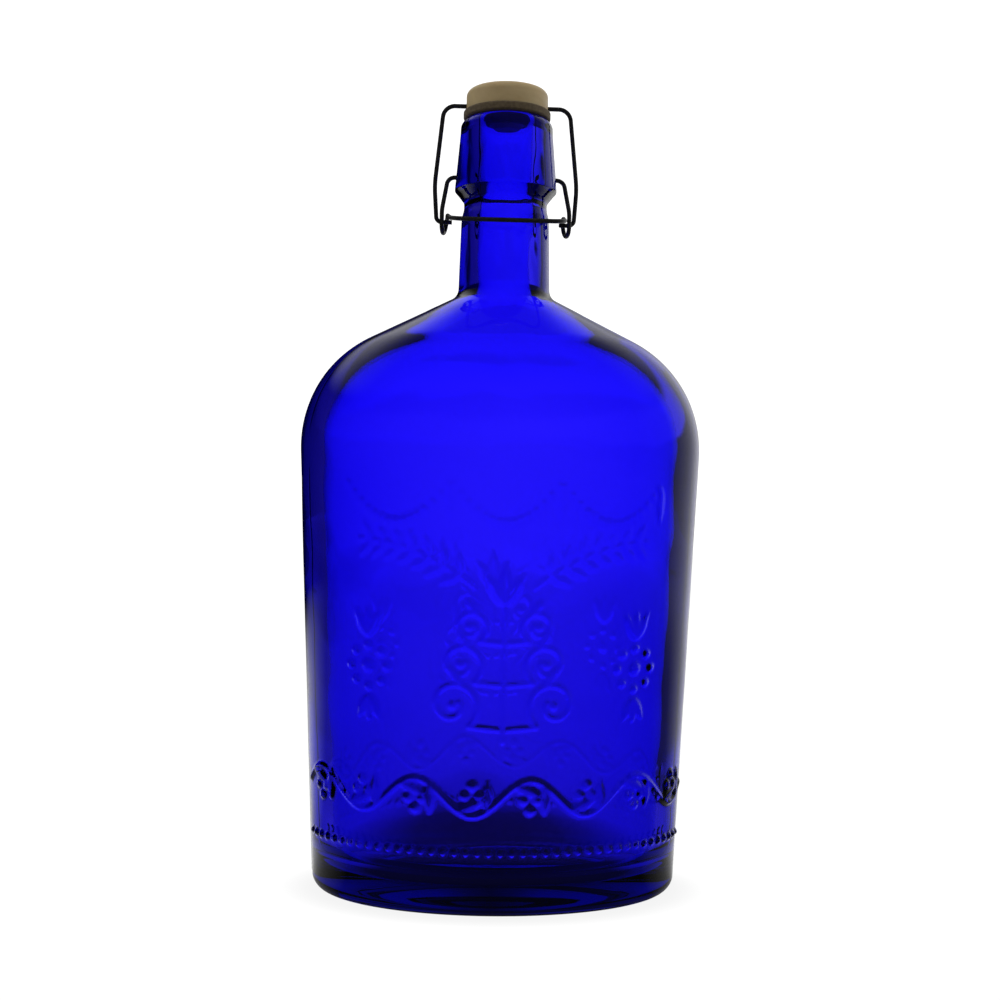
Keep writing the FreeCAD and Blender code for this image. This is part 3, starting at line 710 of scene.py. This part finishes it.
# Levels round the bottle: through the flask and the neck, along their walls, mirrored level with the bottle
# and from above, and spread over the matt pieces. A flag stands low on the left.
round_levels = {
    "flask": [(-180, 0.92), (180, 0.92), (-157, 0.92), (-145, 0.8), (-130, 0.62), (-100, 0.4), (0, 0.5),
              (100, 0.6), (130, 1.0), (155, 1.0)],
    "low_flag": [(-180, 1.0), (180, 1.0), (-158, 0.97), (-150, 0.85), (-138, 0.65), (-120, 0.5), (-60, 0.5),
                 (60, 1.0)],
    "flask_wall": [(-180, 0.2), (180, 0.1), (-150, 0.22), (-100, 0.25), (0, 0.4), (100, 0.08), (150, 0.04)],
    "neck": [(-180, 1.1), (180, 1.1), (-160, 1.0), (-145, 0.8), (-130, 0.45), (-110, 0.3), (-60, 0.5),
             (0, 0.6), (90, 1.0), (140, 1.1)],
    "neck_wall": [(-180, 0.04), (180, 0.04), (-168, 0.08), (-155, 0.25), (-115, 0.25), (-95, 0.4), (0, 0.5),
                  (90, 0.9), (122, 0.9), (135, 0.75), (150, 0.6), (165, 0.4), (174, 0.1)],
    "mirrored": [(-180, 0.05), (180, 0.05), (-165, 0.0), (-60, 0.0), (0, 0.03), (60, 0.03), (90, 0.08),
                 (97, 0.3), (122, 0.7), (134, 1.0), (150, 1.0), (165, 0.4)],
    "mirrored_above": [(-180, 1.0), (180, 1.0), (-130, 0.7), (-100, 0.2), (-70, 0.03), (0, 0.03), (70, 0.05),
                       (100, 0.2), (130, 0.7)],
    "spread": [(-180, 1.3), (180, 1.2), (-90, 0.62), (-40, 0.05), (0, 0.02), (40, 0.06), (90, 0.55)],
}
# How steeply a ray climbs, between the start and the end of each change of level.
climbs = {
    "over_flag": (-0.03, 0.03),
    "neck_wall": (0.09, 0.12),
    "neck": (0.14, 0.18),
    "steep_wall": (0.34, 0.44),
    "mirrored_above": (0.42, 0.6),
    "spread_above": (0.3, 0.8),
    "overhead": (0.7, 0.95),
}
SEEN_STRENGTH = 1.5
STEEP_WALL_LEVEL = 0.04
FOOT_LEVEL = 0.05
OVERHEAD_LEVEL = 0.03
SPREAD_ABOVE_LEVEL = 1.0
BACKDROP_LEVEL = 1.2
WALL_CROSSINGS = 2.5
FOOT_BOUNCES = 0.5
ray = add_node(tree, "ShaderNodeLightPath").outputs
towards = add_node(tree, "ShaderNodeTexCoord").outputs["Generated"]
turned = angle_round(tree, towards)
climb = add_node(tree, "ShaderNodeSeparateXYZ", {"Vector": towards}).outputs["Z"]
ramps = {name: add_node(tree, "ShaderNodeValToRGB", {"Fac": turned}, levels(pairs))
         for name, pairs in round_levels.items()}
shares = {name: add_node(tree, "ShaderNodeMapRange", {"Value": climb, "From Min": start, "From Max": end},
                         interpolation_type="SMOOTHSTEP")
          for name, (start, end) in climbs.items()}
in_wall = add_node(tree, "ShaderNodeMath", {0: ray["Transmission Depth"], 1: WALL_CROSSINGS},
                   operation="LESS_THAN")
off_foot = add_node(tree, "ShaderNodeMath", {0: ray["Glossy Depth"], 1: FOOT_BOUNCES},
                    operation="GREATER_THAN")
flag_share = layered(tree, ramps["low_flag"], (shares["over_flag"], 1.0))
flask = add_node(tree, "ShaderNodeMath", {0: ramps["flask"], 1: flag_share}, operation="MULTIPLY")
wall = layered(tree, ramps["flask_wall"], (shares["neck_wall"], ramps["neck_wall"]),
               (shares["steep_wall"], STEEP_WALL_LEVEL))
seen = layered(tree, flask, (shares["neck"], ramps["neck"]), (off_foot, FOOT_LEVEL), (in_wall, wall))
seen = add_node(tree, "ShaderNodeMath", {0: seen, 1: SEEN_STRENGTH}, operation="MULTIPLY")
mirrored = layered(tree, ramps["mirrored"], (shares["mirrored_above"], ramps["mirrored_above"]),
                   (shares["overhead"], OVERHEAD_LEVEL))
spread = layered(tree, ramps["spread"], (shares["spread_above"], SPREAD_ABOVE_LEVEL))
shown = layered(tree, seen, (ray["Is Reflection Ray"], mirrored), (ray["Is Diffuse Ray"], spread),
                (ray["Is Camera Ray"], BACKDROP_LEVEL))
light = add_node(tree, "ShaderNodeBackground", {"Color": linear("#ffffff"), "Strength": shown})
add_node(tree, "ShaderNodeOutputWorld", {"Surface": light})

# A pale floor that glows, with painted shade: brightest well away from the bottle, darkened by a painted
# shadow below and close behind.
# An oval on it is (middle, half width, half depth), in metres.
SHADE_OVAL = ((0, 0.05, 0), 0.06, 0.12)
FOOT_SHADE_OVAL = ((0, -0.02, 0), 0.056, 0.05)
FOOT_OVAL = ((0, 0, 0), FLASK_HALF_BASE * MM, 0.0422)
FLOOR_HALF = 3.0
FLOOR_GLOW_STRENGTH = 1.6
FOOT_SHADE_LEVEL = 0.12
SHADOW_LEVELS = (0.9, 1.05)
# Levels of the painted shade by distance from its middle, 1 at the rim of its oval. The ramp runs in
# doublings.
shade_levels = [(0.25, 0.035), (32, 0.9), (0.5, 0.06), (0.7, 0.16), (0.93, 0.34), (1.14, 0.48), (1.83, 0.52),
                (4.3, 0.62), (11.5, 0.66)]
SHADE_DOUBLINGS = (-2.0, 5.0)
# Painted levels of the floor's glow round the bottle, for each kind of ray.
round_levels = {
    "wall": [(-180, 0.4), (180, 0.3), (-150, 0.45), (0, 0.6), (90, 0.3), (120, 0.1), (165, 0.1)],
    "low_flag": [(-180, 1.0), (180, 1.05), (-158, 0.97), (-150, 0.85), (-138, 0.65), (-120, 0.5), (-60, 0.5),
                 (60, 1.05)],
    "mirrored_foot": [(-180, 0.2), (180, 0.2), (-165, 0.4), (-148, 1.0), (-130, 1.0), (-108, 0.8), (-90, 0.3),
                      (-70, 0.03), (70, 0.03), (90, 0.3), (108, 0.8), (130, 1.0), (148, 1.0), (165, 0.4)],
    "mirrored_near": [(-180, 0.06), (180, 0.06), (-167, 0.25), (-150, 0.8), (-130, 0.8), (-100, 0.05),
                      (-80, 0.02), (80, 0.02), (100, 0.1), (130, 0.8), (150, 0.8), (167, 0.25)],
    "mirrored_far": round_levels["mirrored"],
    "spread": [(-180, 0.8), (180, 0.8), (-90, 0.3), (-40, 0.04), (40, 0.04), (90, 0.35)],
}
glowing_floor_painted_shade, tree = new_material("floor_glow_painted_shade")
ray = add_node(tree, "ShaderNodeLightPath").outputs
spot = add_node(tree, "ShaderNodeTexCoord").outputs["Object"]
turned = angle_round(tree, spot)
ramps = {name: add_node(tree, "ShaderNodeValToRGB", {"Fac": turned}, levels(pairs))
         for name, pairs in round_levels.items()}
in_wall = add_node(tree, "ShaderNodeMath", {0: ray["Transmission Depth"], 1: WALL_CROSSINGS},
                   operation="LESS_THAN")
away = add_node(tree, "ShaderNodeVectorMath", {0: spot}, operation="LENGTH").outputs["Value"]


def oval_reach(tree, middle, half_width, half_depth):
    """Distance from the middle of an oval on the floor, 1 at its rim."""
    offset = add_node(tree, "ShaderNodeVectorMath", {0: spot, 1: middle}, operation="SUBTRACT")
    scaled = add_node(tree, "ShaderNodeVectorMath", {0: offset, 1: (1 / half_width, 1 / half_depth, 0)},
                      operation="MULTIPLY")
    return add_node(tree, "ShaderNodeVectorMath", {0: scaled}, operation="LENGTH").outputs["Value"]


shaded = oval_reach(tree, *SHADE_OVAL)
# What each share goes by, and where it starts and ends.
changes = {
    "past_shade": (shaded, 2.0, 4.0),
    "flag": (shaded, 7.0, 12.0),
    # Painted shade under the front of the foot.
    "past_foot_shade": (oval_reach(tree, *FOOT_SHADE_OVAL), 0.8, 1.05),
    "near": (away, 0.1, 0.14),
    "far": (away, 0.4, 1.2),
}
shares = {name: add_node(tree, "ShaderNodeMapRange", {"Value": value, "From Min": start, "From Max": end},
                         interpolation_type="SMOOTHSTEP")
          for name, (value, start, end) in changes.items()}
doublings = add_node(tree, "ShaderNodeMath", {0: shaded, 1: 2.0}, operation="LOGARITHM")
growth = add_node(tree, "ShaderNodeMapRange", {
    "Value": doublings, "From Min": SHADE_DOUBLINGS[0], "From Max": SHADE_DOUBLINGS[1]})
shade_stops = [((math.log2(reach) - SHADE_DOUBLINGS[0]) / (SHADE_DOUBLINGS[1] - SHADE_DOUBLINGS[0]),
                [level] * 3 + [1.0]) for reach, level in shade_levels]
seen = add_node(tree, "ShaderNodeValToRGB", {"Fac": growth}, shade_stops)
# The glow seen through the glass, with painted shade: dimmer through the walls, far off on the left and under
# the foot.
wall_share = layered(tree, 1.0, (in_wall, ramps["wall"]))
for share in (
    layered(tree, 1.0, (shares["past_shade"], wall_share)),
    FLOOR_GLOW_STRENGTH,
    layered(tree, 1.0, (shares["flag"], ramps["low_flag"])),
    layered(tree, FOOT_SHADE_LEVEL, (shares["past_foot_shade"], 1.0)),
):
    seen = add_node(tree, "ShaderNodeMath", {0: seen, 1: share}, operation="MULTIPLY")
# The glow that the glass mirrors: painted reflection levels by place round the bottle and by distance.
mirrored = layered(tree, ramps["mirrored_foot"], (shares["near"], ramps["mirrored_near"]),
                   (shares["far"], ramps["mirrored_far"]))
# A faint painted shadow round the foot, where the camera sees the floor.
shadow = add_node(tree, "ShaderNodeMapRange", {
    "Value": oval_reach(tree, *FOOT_OVAL), "From Min": 0.95, "From Max": 1.3, "To Min": SHADOW_LEVELS[0],
    "To Max": SHADOW_LEVELS[1]}, interpolation_type="SMOOTHSTEP")
# Each kind of ray sees its own painted level of the glow: mirrored, lighting the matt pieces, or seen
# straight.
shown = layered(tree, seen, (ray["Is Reflection Ray"], mirrored), (ray["Is Diffuse Ray"], ramps["spread"]),
                (ray["Is Camera Ray"], shadow))
glow = add_node(tree, "ShaderNodeEmission", {"Color": linear("#ffffff"), "Strength": shown})
add_node(tree, "ShaderNodeOutputMaterial", {"Surface": glow})
floor_corners = [(x * FLOOR_HALF, y * FLOOR_HALF, 0) for x, y in ((-1, -1), (1, -1), (1, 1), (-1, 1))]
floor = smooth_piece("floor", floor_corners, [(0, 1, 2, 3)])
floor.data.materials.append(glowing_floor_painted_shade)

# The soft panel, high in front on the left, lights the matt pieces and doesn't show in the glass.
PANEL_PLACE = Vector((-0.5, -0.9, 0.9))
PANEL_AIM = Vector((0, 0, 0.2))
PANEL_SIDE = 0.6
PANEL_STRENGTH = 0.12
lamp = bpy.data.lights.new("front_panel", "AREA")
lamp.shape = "RECTANGLE"
lamp.size = PANEL_SIDE
lamp.size_y = PANEL_SIDE
lamp.energy = PANEL_STRENGTH * PANEL_SIDE * PANEL_SIDE * math.pi
panel = bpy.data.objects.new("front_panel", lamp)
panel.location = PANEL_PLACE
panel.rotation_mode = "QUATERNION"
panel.rotation_quaternion = (PANEL_AIM - PANEL_PLACE).to_track_quat("-Z", "Y")
panel.visible_camera = False
panel.visible_transmission = False
panel.visible_glossy = False
scene.collection.objects.link(panel)

CAMERA_DISTANCE = 0.500
CAMERA_HEIGHT = 0.141
CAMERA_TURN = math.radians(-3.0)
CAMERA_ROLL = math.radians(1.06)
CAMERA_SENSOR = 36.0
CAMERA_LENS = 49.2
CAMERA_NEAREST = 0.01
camera = bpy.data.objects.new("camera", bpy.data.cameras.new("camera"))
camera.data.sensor_width = CAMERA_SENSOR
camera.data.lens = CAMERA_LENS
camera.data.clip_start = CAMERA_NEAREST
stand = Vector((math.sin(CAMERA_TURN), -math.cos(CAMERA_TURN), 0)) * CAMERA_DISTANCE
turn_round = Matrix.Rotation(CAMERA_TURN, 4, "Z")
look_level = Matrix.Rotation(math.pi / 2, 4, "X")
roll = Matrix.Rotation(CAMERA_ROLL, 4, "Z")
raised_stand = Matrix.Translation(stand + Vector((0, 0, CAMERA_HEIGHT)))
camera.matrix_world = raised_stand @ turn_round @ look_level @ roll
scene.collection.objects.link(camera)
scene.camera = camera
